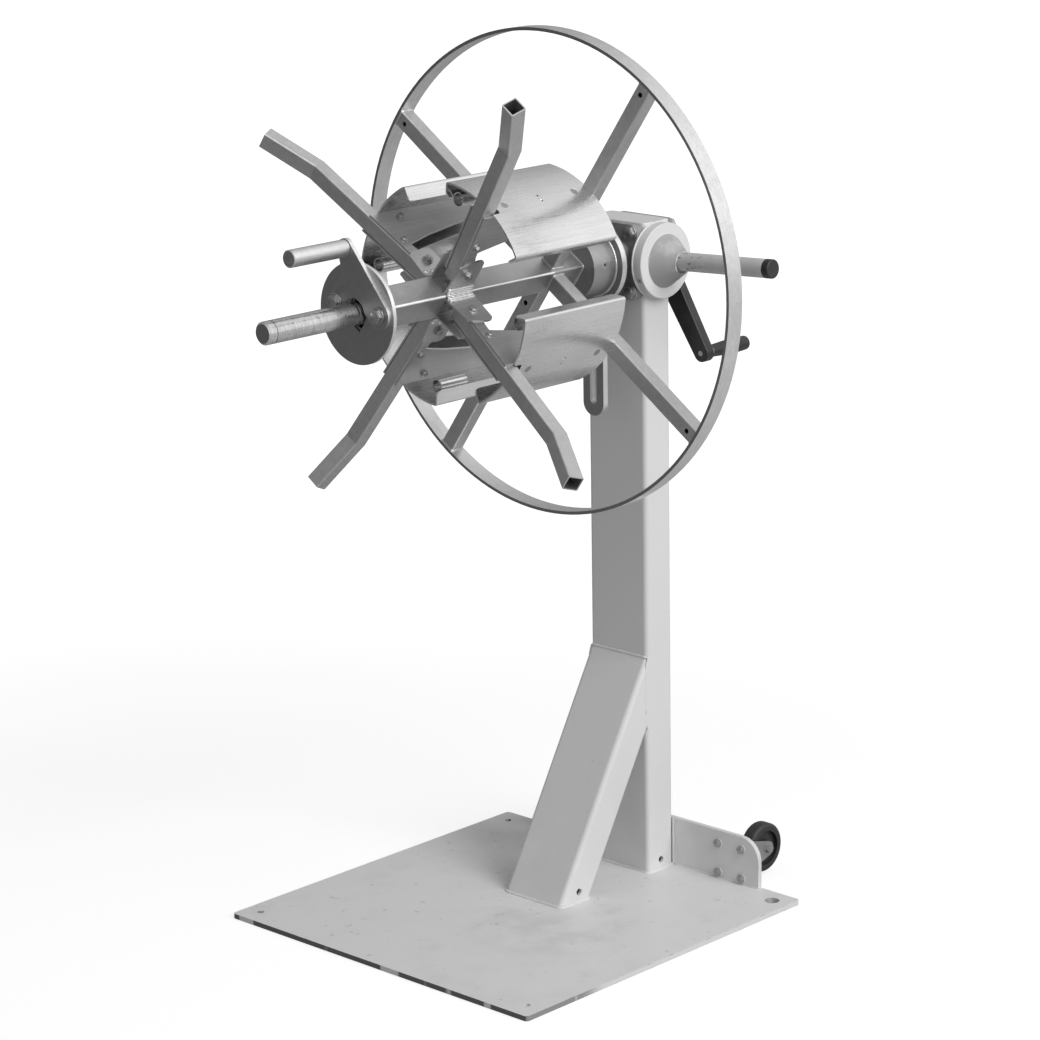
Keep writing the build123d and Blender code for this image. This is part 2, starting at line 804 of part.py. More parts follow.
def rear_arm(number, angle):
    """Square tube from the hub tube to the ring, with one small hole in its front wall."""
    foot = Plane(
        origin=Vector(0, ring_mid, spindle_height) + outward(angle) * hub_half,
        x_dir=across(angle),
        z_dir=outward(angle),
    )
    hole_r = lower_left_hole_r if number == 3 else rear_arm_end - rear_arm_hole_set_in
    with BuildPart() as arm:
        with BuildSketch(foot):
            square_tube_face(arm_side, arm_wall, arm_corner)
        extrude(amount=rear_arm_end - hub_half)
        with BuildSketch(section_plane(angle, ring_mid - arm_side / 2 - arm_wall)):
            with Locations((hole_r, 0)):
                Circle(rear_arm_hole / 2)
        extrude(amount=-3 * arm_wall, mode=Mode.SUBTRACT)
    return arm


def front_arm(angle, reach):
    """Square tube with open ends, a mitred flare and a hole for the pivot bolt."""
    along = Vector(cos(radians(arm_lean)), -sin(radians(arm_lean)))
    flare = Vector(cos(radians(arm_lean + arm_flare)), -sin(radians(arm_lean + arm_flare)))
    base = Vector(0, arm_axis_y)
    root = base + along * (pivot_radius / cos(radians(arm_lean)) - root_overhang)
    elbow = base + along * reach
    tip = elbow + flare * arm_flare_length
    side = side_plane(angle)
    with BuildPart() as arm:
        with BuildLine(side) as path:
            Polyline((root.X, root.Y), (elbow.X, elbow.Y), (tip.X, tip.Y))
        with BuildSketch(Plane(origin=path.line @ 0, x_dir=across(angle), z_dir=path.line % 0)):
            square_tube_face(arm_side, arm_wall, arm_corner)
        sweep(path=path.line, transition=Transition.RIGHT)
        with BuildSketch(side):
            with Locations((pivot_radius, pivot_y)):
                Circle(pivot_bolt / 2 + pivot_clearance)
        extrude(amount=arm_side, both=True, mode=Mode.SUBTRACT)
    return arm


def corner_bracket(angle):
    """Folded plate round one corner of the hub tube, with an ear beside each of the two arms."""
    outer = hub_half + sheet
    with BuildPart() as bracket:
        with BuildSketch(section_plane(angle, bracket_rear)) as fold:
            with BuildLine():
                Polyline(
                    (hub_half, cheek_outer),
                    (outer, cheek_outer),
                    (outer, outer),
                    (cheek_outer, outer),
                    (cheek_outer, hub_half),
                    (hub_half, hub_half),
                    close=True,
                )
            make_face()
            fillet(fold.vertices().sort_by_distance(Vertex(outer, outer, 0))[0], hub_corner)
        extrude(amount=bracket_rear - bracket_front)
        for ear_angle, side in ((angle, 1), (angle + 90, -1)):
            with BuildSketch(side_plane(ear_angle, side * cheek_outer)) as ear:
                with BuildLine():
                    Polyline(
                        (hub_half, bracket_front),
                        (ear_shoulder_r, bracket_front),
                        ear_front_tip,
                        ear_side,
                        ear_rear_tip,
                        (hub_half, bracket_rear),
                        close=True,
                    )
                make_face()
                fillet(ear.vertices().sort_by_distance(Vertex(*ear_front_tip, 0))[0], ear_front_round)
                fillet(ear.vertices().sort_by_distance(Vertex(*ear_rear_tip, 0))[0], ear_rear_round)
                with Locations((pivot_radius, pivot_y)):
                    Circle(pivot_bolt / 2 + bore_gap, mode=Mode.SUBTRACT)
            extrude(amount=side * sheet)
    return bracket


def leg_front(radius):
    """Front edge of a cheek, just behind the front face of the arm, as radius and y."""
    return (radius, arm_face_y + leg_front_set_back - radius * tan(radians(arm_lean)))


def shell_leg(angle):
    """Channel under a shell: a web against the sheet and two cheeks reaching in beside the arm."""
    with BuildPart() as leg:
        for side in (-1, 1):
            with BuildSketch(side_plane(angle, side * cheek_inner)) as cheek:
                with BuildLine():
                    Polyline(
                        leg_front(neck_end_r),
                        leg_front(leg_top),
                        (leg_top, leg_rear),
                        (leg_end_r, leg_rear),
                        *reversed(leg_inner),
                        *reversed(neck_rear),
                        close=True,
                    )
                make_face()
                with Locations((pivot_radius, pivot_y)):
                    Circle(pivot_bolt / 2 + bore_gap, mode=Mode.SUBTRACT)
                with Locations((lock_radius, lock_y)):
                    Circle(lock_screw / 2 + bore_gap, mode=Mode.SUBTRACT)
            extrude(amount=side * sheet)
        with BuildSketch(section_plane(angle, leg_rear)):
            with Locations((leg_top - sheet / 2, 0)):
                Rectangle(sheet, 2 * cheek_outer)
        extrude(amount=leg_rear - leg_web_front)
        with BuildSketch(spot_on_shell(angle, leg_top)):
            with Locations((0, shell_screw_front), (0, shell_screw_rear)):
                Circle(shell_screw / 2 + bore_gap)
        extrude(amount=-sheet, mode=Mode.SUBTRACT)
    return leg


def lip_end_edge(edge):
    """True for the short edges across the sheet at the front and rear ends of a lip's free edge."""
    middle = edge @ 0.5
    radius = sqrt(middle.X**2 + (middle.Z - spindle_height) ** 2)
    return edge.length < 1.1 * sheet and radius < shell_dia / 2 - shell_lip + sheet


def shell(angle):
    """Rolled sheet with both long edges folded inward, notched at the front for the leaning arm."""
    outer = shell_dia / 2
    edge = radians(shell_half_angle)
    with BuildPart() as sheet_part:
        with BuildSketch(section_plane(angle, shell_rear)) as profile:
            Circle(outer)
            Circle(shell_inner_r, mode=Mode.SUBTRACT)
            with BuildLine():
                reach = 2 * outer
                Polyline(
                    (0, 0),
                    (reach * cos(edge), -reach * sin(edge)),
                    (reach, 0),
                    (reach * cos(edge), reach * sin(edge)),
                    close=True,
                )
            make_face(mode=Mode.INTERSECT)
            for side in (-1, 1):
                with Locations(Location((0, 0, 0), (0, 0, side * shell_half_angle))):
                    with Locations((outer - shell_lip / 2 - sheet / 4, -side * sheet / 2)):
                        Rectangle(shell_lip - sheet / 2, sheet)
            corners = profile.vertices().filter_by(lambda v: sqrt(v.X**2 + v.Y**2) > outer - bore_gap)
            fillet(corners, shell_bend)
        extrude(amount=shell_rear - shell_front)
        front_edges = sheet_part.edges().filter_by(lip_end_edge)
        fillet(front_edges, shell_lip_corner)
        with BuildSketch(spot_on_shell(angle, outer)) as notch:
            with Locations((0, shell_front)):
                Rectangle(shell_notch_width, 2 * shell_notch_depth)
            fillet(notch.vertices().group_by(Axis.Y)[-1], shell_notch_corner)
            with Locations((0, shell_slot_y)):
                SlotOverall(shell_slot_length, shell_slot_width)
        extrude(amount=-shell_lip, mode=Mode.SUBTRACT)
        with BuildSketch(spot_on_shell(angle, outer + sheet)):
            with Locations((0, shell_screw_front), (0, shell_screw_rear)):
                Circle(shell_screw + 2 * bore_gap + sheet)
        extrude(amount=-(2 * sheet + bore_gap), taper=45, mode=Mode.SUBTRACT)
    return sheet_part


def shell_screw_set(angle, y):
    """Countersunk screw through shell and leg, with a nut under the leg."""
    seat = spot(spot_on_shell(angle, shell_dia / 2), 0, y)
    depth = shell_dia / 2 - leg_top + sheet
    with BuildPart() as screw:
        with BuildSketch(seat):
            Circle(shell_screw)
        extrude(amount=-shell_screw / 2, taper=45)
        with BuildSketch(seat):
            Circle(shell_screw / 2)
        extrude(amount=-(depth + shell_screw))
        with BuildSketch(seat.offset(-depth)):
            RegularPolygon(shell_screw * flats_share / 2, 6, major_radius=False)
        extrude(amount=-shell_screw * nut_share)
    return screw.part


def stub_tube(angle):
    """Short tube welded inside the lip of a shell."""
    lip_gap = asin((sheet + stub_dia / 2 + bore_gap) / stub_radius)
    centre = angle + shell_half_angle - degrees(lip_gap)
    with BuildPart() as tube:
        with BuildSketch(section_plane(centre, stub_front + stub_length)):
            with Locations((stub_radius, 0)):
                Circle(stub_dia / 2)
                Circle(stub_dia / 2 - stub_wall, mode=Mode.SUBTRACT)
        extrude(amount=stub_length)
    return tube.part


for number, (angle, reach) in enumerate(zip(arm_angles, arm_reaches), start=1):
    tail = "_" + str(number)
    save(rear_arm(number, angle), "rear_arm" + tail)
    save(front_arm(angle, reach), "front_arm" + tail)
    save(corner_bracket(angle), "corner_bracket" + tail)
    save(shell_leg(angle), "shell_leg" + tail)
    save(shell(angle), "shell" + tail)

def arm_fasteners(angle):
    """Pivot bolt of one arm, the screws that clamp it from both cheeks and the hub screw under it."""
    pivot = hex_bolt(spot(side_plane(angle, ear_outer), pivot_radius, pivot_y), pivot_bolt, 2 * ear_outer)
    hub_seat = spot(spot_on_shell(angle, hub_half), 0, hub_screw_y)
    pieces = [pivot, hex_screw(hub_seat, hub_screw, hub_half - spindle_dia / 2 - bore_gap)]
    for side in (-1, 1):
        place = spot(side_plane(angle, side * cheek_outer), lock_radius, lock_y)
        seat = Plane(origin=place.origin, x_dir=outward(angle), z_dir=across(angle) * side)
        pieces.append(hex_screw(seat, lock_screw, sheet))
    return pieces


arm_fastener_list = [piece for angle in arm_angles for piece in arm_fasteners(angle)]
with BuildPart() as pivot_bolts:
    add(arm_fastener_list)
save(pivot_bolts, "pivot_bolts")

shell_screw_places = (shell_screw_front, shell_screw_rear)
screw_list = [shell_screw_set(angle, y) for angle in arm_angles for y in shell_screw_places]
with BuildPart() as shell_screws:
    add(screw_list)
save(shell_screws, "shell_screws")

stub_list = [stub_tube(angle) for angle in arm_angles]
with BuildPart() as stub_tubes:
    add(stub_list)
save(stub_tubes, "stub_tubes")


def handle_seat(side):
    """Plane on one side of the post, facing away from it, with local y up."""
    origin = (side * tube_width / 2, post_mid, spindle_height)
    return Plane(origin=origin, x_dir=(0, side, 0), z_dir=(side, 0, 0))


def handle_axis(side, offset):
    """Plane across the rising handle rod at a distance along it from the post."""
    rise = radians(handle_rise)
    direction = Vector(side * cos(rise), 0, sin(rise))
    start = Vector(side * tube_width / 2, post_mid, spindle_height)
    return Plane(origin=start + direction * offset, x_dir=(0, side, 0), z_dir=direction)


def handle_boss(side):
    """Thick flange with a cone turned on it, bored for the rod, with a radial screw hole."""
    seat = handle_seat(side)
    cone_slope = degrees(atan2(cone_base_dia / 2 - cone_tip_dia / 2, cone_length))
    with BuildPart() as boss:
        with BuildSketch(seat):
            Circle(boss_dia / 2)
        extrude(amount=boss_thick)
        chamfer(boss.faces().sort_by(Axis.X)[-1 if side > 0 else 0].edges(), edge_break)
        with BuildSketch(seat.offset(boss_thick)):
            Circle(cone_base_dia / 2)
        extrude(amount=cone_length, taper=cone_slope)
        with BuildSketch(handle_axis(side, rod_seat)):
            Circle(handle_dia / 2 + bore_gap)
        extrude(amount=boss_thick + cone_length + rod_seat, mode=Mode.SUBTRACT)
        hole_dir = Vector(0, cos(radians(boss_screw_angle)), sin(radians(boss_screw_angle)))
        hole_start = Vector(side * (tube_width / 2 + boss_thick / 2), post_mid, spindle_height)
        hole_end = hole_start + hole_dir * (boss_dia / 2 - boss_screw_depth)
        with BuildSketch(Plane(origin=hole_end, z_dir=hole_dir)):
            Circle(boss_screw_hole / 2)
        extrude(amount=2 * boss_screw_depth, mode=Mode.SUBTRACT)
    return boss


def handle_rod(side):
    """Tube seated in the boss."""
    with BuildPart() as rod:
        with BuildSketch(handle_axis(side, rod_seat)):
            Circle(handle_dia / 2)
            Circle(handle_dia / 2 - handle_wall, mode=Mode.SUBTRACT)
        extrude(amount=handle_length)
    return rod


def handle_cap(side):
    """Plug with a flange that closes the end of the rod."""
    end = rod_seat + handle_length
    with BuildPart() as cap:
        with BuildSketch(handle_axis(side, end)):
            Circle(handle_dia / 2 + handle_cap_gap)
        extrude(amount=handle_cap_thick)
        fillet(cap.faces().sort_by(Axis.X)[-1 if side > 0 else 0].edges(), edge_round)
        with BuildSketch(handle_axis(side, end)):
            Circle(handle_dia / 2 - handle_wall - handle_cap_gap)
        extrude(amount=-handle_cap_plug)
    return cap


for name, side in (("left", -1), ("right", 1)):
    save(handle_boss(side), "handle_boss_" + name)
    save(handle_rod(side), "handle_rod_" + name)
    save(handle_cap(side), "handle_cap_" + name)
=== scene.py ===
from math import cos, pi, radians, sin

import bmesh
import bpy
from mathutils import Matrix, Vector, noise


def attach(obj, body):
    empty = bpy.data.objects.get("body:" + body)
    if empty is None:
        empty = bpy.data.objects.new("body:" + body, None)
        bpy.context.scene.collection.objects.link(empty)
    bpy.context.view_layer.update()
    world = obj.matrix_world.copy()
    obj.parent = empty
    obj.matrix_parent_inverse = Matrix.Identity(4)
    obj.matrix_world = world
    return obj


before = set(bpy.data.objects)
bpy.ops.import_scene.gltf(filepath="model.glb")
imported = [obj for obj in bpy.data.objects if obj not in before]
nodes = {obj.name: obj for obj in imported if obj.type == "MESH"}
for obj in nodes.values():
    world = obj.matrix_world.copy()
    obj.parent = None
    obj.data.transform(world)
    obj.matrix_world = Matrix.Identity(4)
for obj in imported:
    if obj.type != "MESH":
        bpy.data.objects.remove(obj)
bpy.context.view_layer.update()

# Spindle height above the floor, in metres, and the angles of the four arms from +X, in degrees
spindle_height = 1.0
arm_angles = (55, 145, 235, 325)

# Sizes of the stand, in metres
post_half_x = 0.060
post_front = 0.244
post_rear = 0.304
post_mid = (post_front + post_rear) / 2
plate_top = 0.008
sunk_anchor = (0.285, 0.280, plate_top)
sunk_radius = 0.0118
brace_foot = (0.0360, 0.1053)
brace_seam = (0.2483, 0.3683)
wheel_bracket_ends = (-0.227, 0.237)
wheel_bracket_top = 0.087
boss_radius = 0.0585
boss_front = 0.078
cone_front = 0.110
rod_start = 0.112
handle_radius = 0.0145
bearing_faces = (0.229, 0.316)
bearing_bolt = 0.046
castor_x = 0.179
castor_z = 0.042
castor_bolt = 0.024

# Sizes of the reel, in metres; a place is a radius, then a place along the spindle
hub_half = 0.020
hub_end = 0.142
corner_bracket_span = (-0.158, -0.103)
sleeve_half = 0.0225
disc_rear = -0.303
turned_line = 0.478
barrel_radius = 0.050
driver_front = 0.191
ring_inner = 0.365
ring_mid = 0.091
arm_half = 0.0125
cheek_outer = 0.0159
ear_outer = 0.0189
pivot_place = (0.055, -0.12945)
clamp_place = (0.105, -0.13559)
cheek_bolt_place = (0.151, -0.104)
slot_place = (0.1683, -0.027)
slot_half = 0.0044

# Face of the crank plate, and X and Z of its bolts from the spindle axis, in metres
crank_face = -0.316
crank_bolts = ((0.051, 0.004), (-0.036, 0.015))

# Spacing of the rings of a weld bead, in metres, and the sides of its section
bead_step = 0.0015
bead_sides = 6

# Radius at which the profile of a turned piece without a hole starts, in metres
axis_gap = 0.0004

# Camera worked out from the photograph: place in metres, turns in degrees, lens in millimetres
camera_at = Vector((3.5889, -3.7474, 2.000))
camera_yaw = radians(43.594)
camera_pitch = radians(14.772)
camera_roll = radians(-0.956)
camera_lens = 122.42


def aim_camera():
    """Place the camera with its axes built from yaw, pitch and roll."""
    back = Vector((
        sin(camera_yaw) * cos(camera_pitch),
        -cos(camera_yaw) * cos(camera_pitch),
        sin(camera_pitch),
    ))
    level = Vector((0, 0, 1)).cross(back).normalized()
    upright = back.cross(level)
    right = level * cos(camera_roll) + upright * sin(camera_roll)
    up = upright * cos(camera_roll) - level * sin(camera_roll)
    data = bpy.data.cameras.new("camera")
    data.lens = camera_lens
    data.sensor_width = 36
    camera = bpy.data.objects.new("camera", data)
    bpy.context.scene.collection.objects.link(camera)
    turn = Matrix((right, up, back)).transposed().to_4x4()
    camera.matrix_world = Matrix.Translation(camera_at) @ turn
    bpy.context.scene.camera = camera


class Net:
    """Short calls for building one node tree."""

    def __init__(self, tree):
        self.tree = tree

    def add(self, kind, inputs=None, **settings):
        node = self.tree.nodes.new(kind)
        for key, value in settings.items():
            setattr(node, key, value)
        for key, value in (inputs or {}).items():
            self.feed(node.inputs[key], value)
        return node

    def feed(self, socket, value):
        if hasattr(value, "links"):
            self.tree.links.new(value, socket)
        else:
            socket.default_value = value

    def math(self, operation, first, second=0.5, clamp=False):
        inputs = {0: first, 1: second}
        return self.add("ShaderNodeMath", inputs, operation=operation, use_clamp=clamp).outputs[0]

    def times(self, first, second):
        return self.math("MULTIPLY", first, second)

    def plus(self, first, second, clamp=False):
        return self.math("ADD", first, second, clamp)

    def above(self, value, limit):
        return self.math("GREATER_THAN", value, limit)

    def below(self, value, limit):
        return self.math("LESS_THAN", value, limit)

    def rest(self, value):
        """One less a value."""
        return self.math("SUBTRACT", 1.0, value)

    def unsigned(self, value):
        return self.math("ABSOLUTE", value)

    def measure(self, operation, first, second):
        """Distance or dot product of two vectors."""
        node = self.add("ShaderNodeVectorMath", {0: first, 1: second}, operation=operation)
        return node.outputs["Value"]

    def where(self, kind="Object"):
        """Texture coordinates of a kind; those of the object are in metres."""
        return self.add("ShaderNodeTexCoord").outputs[kind]

    def split(self, vector):
        """X, Y and Z of a vector."""
        return self.add("ShaderNodeSeparateXYZ", {0: vector}).outputs

    def mix(self, share, first, second):
        node = self.add("ShaderNodeMix", data_type="RGBA")
        self.feed(node.inputs[0], share)
        self.feed(node.inputs[6], first)
        self.feed(node.inputs[7], second)
        return node.outputs[2]

    def choose(self, share, first, second):
        """First number where the share is 0, second where it is 1."""
        node = self.add("ShaderNodeMix", data_type="FLOAT")
        self.feed(node.inputs[0], share)
        self.feed(node.inputs[2], first)
        self.feed(node.inputs[3], second)
        return node.outputs[0]

    def ramp(self, value, low, high, least=0.0, most=1.0):
        """Stretch a value so that low gives the least and high gives the most."""
        inputs = {0: value, 1: low, 2: high, 3: least, 4: most}
        return self.add("ShaderNodeMapRange", inputs, interpolation_type="SMOOTHSTEP").outputs[0]

    def noise(self, scale, stretch=(1, 1, 1), detail=4.0, roughness=0.55):
        place = self.add("ShaderNodeMapping", {"Vector": self.where(), "Scale": stretch}).outputs[0]
        inputs = {"Vector": place, "Scale": scale, "Detail": detail, "Roughness": roughness}
        return self.add("ShaderNodeTexNoise", inputs).outputs[0]

    def edge_wear(self, radius, low, high):
        """About 1 at convex edges, by the angle between the bevelled and the true normal."""
        bevel = self.add("ShaderNodeBevel", {"Radius": radius}, samples=4).outputs[0]
        normal = self.add("ShaderNodeNewGeometry").outputs["Normal"]
        return self.ramp(self.rest(self.measure("DOT_PRODUCT", bevel, normal)), low, high)

    def skin(self, shader, strength, depth, height):
        """Feed a bump to a surface shader."""
        inputs = {"Strength": strength, "Distance": depth, "Height": height}
        self.feed(shader.inputs["Normal"], self.add("ShaderNodeBump", inputs).outputs[0])


def grey(level, warm=0.0):
    """Grey colour with a small warm or cool shift."""
    return (level * (1 + warm), level, level * (1 - warm), 1)


def new_material(name):
    """Material with its node helper and its surface shader."""
    material = bpy.data.materials.new(name)
    material.use_nodes = True
    tree = material.node_tree
    return material, Net(tree), tree.nodes["Principled BSDF"]


def painted(name, level):
    """Light grey paint with orange peel, dirt, scuffs, chipped edges, a stained base plate, and
    handle cones and rods darkened partly by dirt and partly as painted shade.
    """
    material, net, shader = new_material(name)
    where = net.where()
    place = net.split(where)
    facing = net.split(net.add("ShaderNodeNewGeometry").outputs["True Normal"])
    out_x = net.unsigned(place[0])
    high = net.above(place[2], 0.9)
    on_plate = net.below(place[2], plate_top + 0.0001)
    flat = net.above(facing[2], 0.7)
    top = net.times(on_plate, flat)
    rim = net.times(on_plate, net.rest(flat))

    # Stains and mottle everywhere, most of them on the base plate, and a darker patchy cloud on the
    # plate round the foot of the brace
    stain = net.ramp(net.noise(3.5, detail=6.0), 0.50, 0.78)
    colour = net.mix(net.times(stain, 0.22), grey(level), grey(level * 0.84, 0.01))
    mottle = net.times(top, net.ramp(net.noise(9, detail=8.0, roughness=0.7), 0.46, 0.72))
    colour = net.mix(net.times(mottle, 0.26), colour, grey(level * 0.72, 0.01))
    foot = net.ramp(net.measure("DISTANCE", where, (0.10, 0.0, 0.0)), 0.20, 0.05)
    cloud = net.times(foot, net.ramp(net.noise(18, detail=6.0), 0.40, 0.70))
    colour = net.mix(net.times(net.times(cloud, top), 0.20), colour, grey(level * 0.55))
    scuff = net.ramp(net.noise(26, (1, 1, 3), detail=8.0, roughness=0.7), 0.66, 0.74)
    colour = net.mix(net.times(scuff, 0.25), colour, grey(level * 0.62))
    # Patchy darkening that grows towards the bottom of the stand, above the base plate
    low_down = net.ramp(place[2], 0.30, 0.02)
    low_patches = net.times(low_down, net.ramp(net.noise(12, detail=6.0), 0.25, 0.65))
    low_patches = net.times(low_patches, net.above(place[2], plate_top + 0.0002))
    colour = net.mix(net.times(low_patches, 0.16), colour, grey(level * 0.55, 0.01))
    speck = net.ramp(net.noise(160, detail=2.0), 0.74, 0.80)
    colour = net.mix(net.times(speck, 0.50), colour, grey(level * 0.45))
    drop = net.times(top, net.ramp(net.noise(70, detail=1.0), 0.71, 0.76))
    colour = net.mix(net.times(drop, 0.40), colour, grey(level * 0.50, 0.02))

    # Handle rods: a darker tone, partly grease and partly painted shade, and rubbed spots near the
    # cone
    on_rod = net.above(out_x, rod_start)
    rod = net.times(on_rod, high)
    spots = net.ramp(net.noise(60, (1, 2, 2), detail=6.0, roughness=0.7), 0.60, 0.54)
    near_root = net.times(rod, net.ramp(out_x, 0.19, 0.12))
    rubbed = net.times(net.rest(net.times(rod, spots)), near_root)
    colour = net.mix(net.times(rod, 0.12), colour, grey(level * 0.62))
    colour = net.mix(net.times(rubbed, 0.9), colour, grey(0.04))

    # Edge of the base plate: bare dark patches in front, and one near the right front corner
    patches = net.noise(16, (1, 1, 0.01), detail=2.0)
    near_corner = net.times(net.ramp(place[1], -0.14, -0.20), net.ramp(patches, 0.38, 0.44))
    in_front = net.ramp(patches, 0.41, 0.46)
    bare = net.choose(net.above(facing[0], 0.5), in_front, net.times(near_corner, 0.70))
    colour = net.mix(net.times(rim, bare), colour, grey(0.12, 0.03))

    # Cones of the handles darker, partly dirt and partly painted shade, then the ring of the
    # countersunk anchor hole and the chipped edges
    cone = net.times(net.above(out_x, boss_front + 0.0006), high)
    cone = net.times(cone, net.ramp(net.noise(22, detail=6.0), 0.15, 0.50))
    cone = net.times(cone, net.choose(on_rod, 0.85, 0.35))
    colour = net.mix(cone, colour, grey(level * 0.42))
    sunk = net.below(net.measure("DISTANCE", where, sunk_anchor), sunk_radius)
    colour = net.mix(net.times(sunk, 0.85), colour, grey(0.20, 0.02))
    edges = net.edge_wear(0.0018, 0.02, 0.25)
    chips = net.times(edges, net.ramp(net.noise(38, detail=5.0), 0.57, 0.64))
    colour = net.mix(chips, colour, grey(0.10, 0.04))

    net.feed(shader.inputs["Base Color"], colour)
    rough = net.plus(net.times(stain, 0.12), 0.40)
    net.feed(shader.inputs["Roughness"], net.plus(rough, net.times(chips, 0.15)))
    net.skin(shader, 0.05, 0.001, net.plus(net.noise(420, detail=2.0), net.times(chips, -1.5)))
    return material


def brushed(
    name, level, rough, grain=(260, 6, 260), contrast=0.10, blotch=0.12, bright_edge=0.0,
    paint_in=None,
):
    """Metal with fine lines along one axis, cloudy blotches and, if asked, bright edges, partly
    wear and partly painted highlight.
    """
    material, net, shader = new_material(name)
    lines = net.noise(1.0, grain, detail=5.0, roughness=0.65)
    fine = net.noise(1.0, tuple(value * 4 for value in grain), detail=3.0)
    cloud = net.noise(14, detail=6.0, roughness=0.6)
    streak = net.plus(net.times(lines, 0.6), net.times(fine, 0.4))
    dark, light = grey(level * (1 - contrast)), grey(level * (1 + contrast))
    shade = net.mix(net.ramp(streak, 0.35, 0.65), dark, light)
    shade = net.mix(net.times(net.ramp(cloud, 0.48, 0.70), blotch * 2), shade, grey(level * 0.70))
    # Brighter convex edges: partly wear, partly painted highlight
    if bright_edge > 0:
        edge = net.times(net.edge_wear(0.0015, 0.01, 0.20), bright_edge)
        shade = net.mix(edge, shade, grey(min(level * 1.9, 0.85)))
    if paint_in:
        shade = paint_in(net, shade)
    net.feed(shader.inputs["Base Color"], shade)
    shader.inputs["Metallic"].default_value = 1.0
    wave = net.times(net.math("SUBTRACT", streak, 0.5), 0.35)
    smear = net.times(net.math("SUBTRACT", cloud, 0.5), 0.30)
    net.feed(shader.inputs["Roughness"], net.plus(net.plus(wave, smear), rough, clamp=True))
    net.skin(shader, 0.06, 0.0005, streak)
    return material


def own_normal(net):
    """X, Y and Z of the normal in the frame of the part, so that it turns with it."""
    return net.split(net.where("Normal"))


def cut_edges(net, shade):
    """Bright cut edges round a plate that stands square to the spindle."""
    flat = net.unsigned(own_normal(net)[1])
    return net.mix(net.ramp(flat, 0.85, 0.55), shade, grey(0.80))


def dark_edges(net, shade):
    """Front and rear edges of the ring painted dark: painted shade."""
    flat = net.unsigned(own_normal(net)[1])
    return net.mix(net.ramp(flat, 0.60, 0.90), shade, grey(0.30))


def worn_corners(net, shade):
    """Bright lines painted along the corners of the hub tube, as far as the rear arms: a painted
    highlight.
    """
    normal = own_normal(net)
    turn = radians(arm_angles[0])
    first = net.plus(net.times(normal[0], cos(turn)), net.times(normal[2], sin(turn)))
    second = net.math("SUBTRACT", net.times(normal[2], cos(turn)), net.times(normal[0], sin(turn)))
    least = net.math("MINIMUM", net.unsigned(first), net.unsigned(second))
    before_arms = net.below(net.split(net.where())[1], ring_mid - arm_half)
    return net.mix(net.times(net.ramp(least, 0.18, 0.45), before_arms), shade, grey(0.97))


def rubbed_end(net, shade):
    """Bright chamfer, dull end face and a turned line behind the free end of the spindle."""
    ahead = net.times(own_normal(net)[1], -1.0)
    beside = net.unsigned(net.plus(net.split(net.where())[1], turned_line))
    spots = net.ramp(net.noise(120, detail=4.0, roughness=0.7), 0.62, 0.70)
    shade = net.mix(net.times(spots, 0.7), shade, grey(0.10))
    shade = net.mix(net.times(net.ramp(beside, 0.0012, 0.0004), 0.8), shade, grey(0.08))
    shade = net.mix(net.ramp(ahead, 0.20, 0.50), shade, grey(0.80))
    return net.mix(net.ramp(ahead, 0.90, 0.97), shade, grey(0.36))


def cast(name, level):
    """Painted casting with a grainy skin."""
    material, net, shader = new_material(name)
    cloud = net.ramp(net.noise(25, detail=5.0), 0.35, 0.75)
    colour = net.mix(cloud, grey(level * 0.85), grey(level * 1.25))
    wear = net.times(net.edge_wear(0.0015, 0.02, 0.25), net.ramp(net.noise(60), 0.45, 0.60))
    colour = net.mix(net.times(wear, 0.5), colour, grey(level * 2.4))
    net.feed(shader.inputs["Base Color"], colour)
    shader.inputs["Roughness"].default_value = 0.55
    net.skin(shader, 0.25, 0.0006, net.noise(300, detail=4.0))
    return material


def moulded(name, level, rough):
    """Black moulded plastic or rubber with a fine skin and dusty patches."""
    material, net, shader = new_material(name)
    dust = net.ramp(net.noise(40, detail=6.0), 0.45, 0.80)
    colour = net.mix(net.times(dust, 0.5), grey(level), grey(level + 0.035))
    net.feed(shader.inputs["Base Color"], colour)
    net.feed(shader.inputs["Roughness"], net.plus(net.times(dust, 0.2), rough))
    net.skin(shader, 0.12, 0.0004, net.noise(700, detail=2.0))
    return material


def cover(names, material):
    """Give CAD nodes a material in all their slots."""
    for name in names:
        mesh = nodes[name].data
        mesh.materials.clear()
        mesh.materials.append(material)


def numbered(stem):
    """Names of the four copies of a repeated part."""
    return [stem + "_" + str(number) for number in range(1, len(arm_angles) + 1)]


square_tube = {"grain": (120, 120, 120), "contrast": 0.06, "blotch": 0.18, "bright_edge": 0.5}
dark_plate = {"grain": (200, 200, 200), "contrast": 0.05, "blotch": 0.10, "bright_edge": 0.9}
paint = painted("stand_paint", 0.77)
shell_metal = brushed(
    "shell_sheet", 0.78, 0.29, grain=(420, 7, 420), contrast=0.05, blotch=0.06, bright_edge=0.6
)
sheet_metal = brushed("sheet_steel", 0.56, 0.38, contrast=0.07, bright_edge=0.7)
tube_metal = brushed("tube_steel", 0.56, 0.44, **square_tube)
ring_metal = brushed(
    "ring_steel", 0.74, 0.38, grain=(90, 260, 90), contrast=0.08, paint_in=dark_edges
)
hub_metal = brushed("hub_steel", 0.50, 0.44, **square_tube, paint_in=worn_corners)
barrel_metal = brushed("barrel_steel", 0.39, 0.42, **dark_plate)
plate_metal = brushed("plate_steel", 0.36, 0.42, **dark_plate, paint_in=cut_edges)
spindle_metal = brushed(
    "spindle_steel", 0.64, 0.24, grain=(40, 300, 40), contrast=0.16, blotch=0.60,
    paint_in=rubbed_end,
)
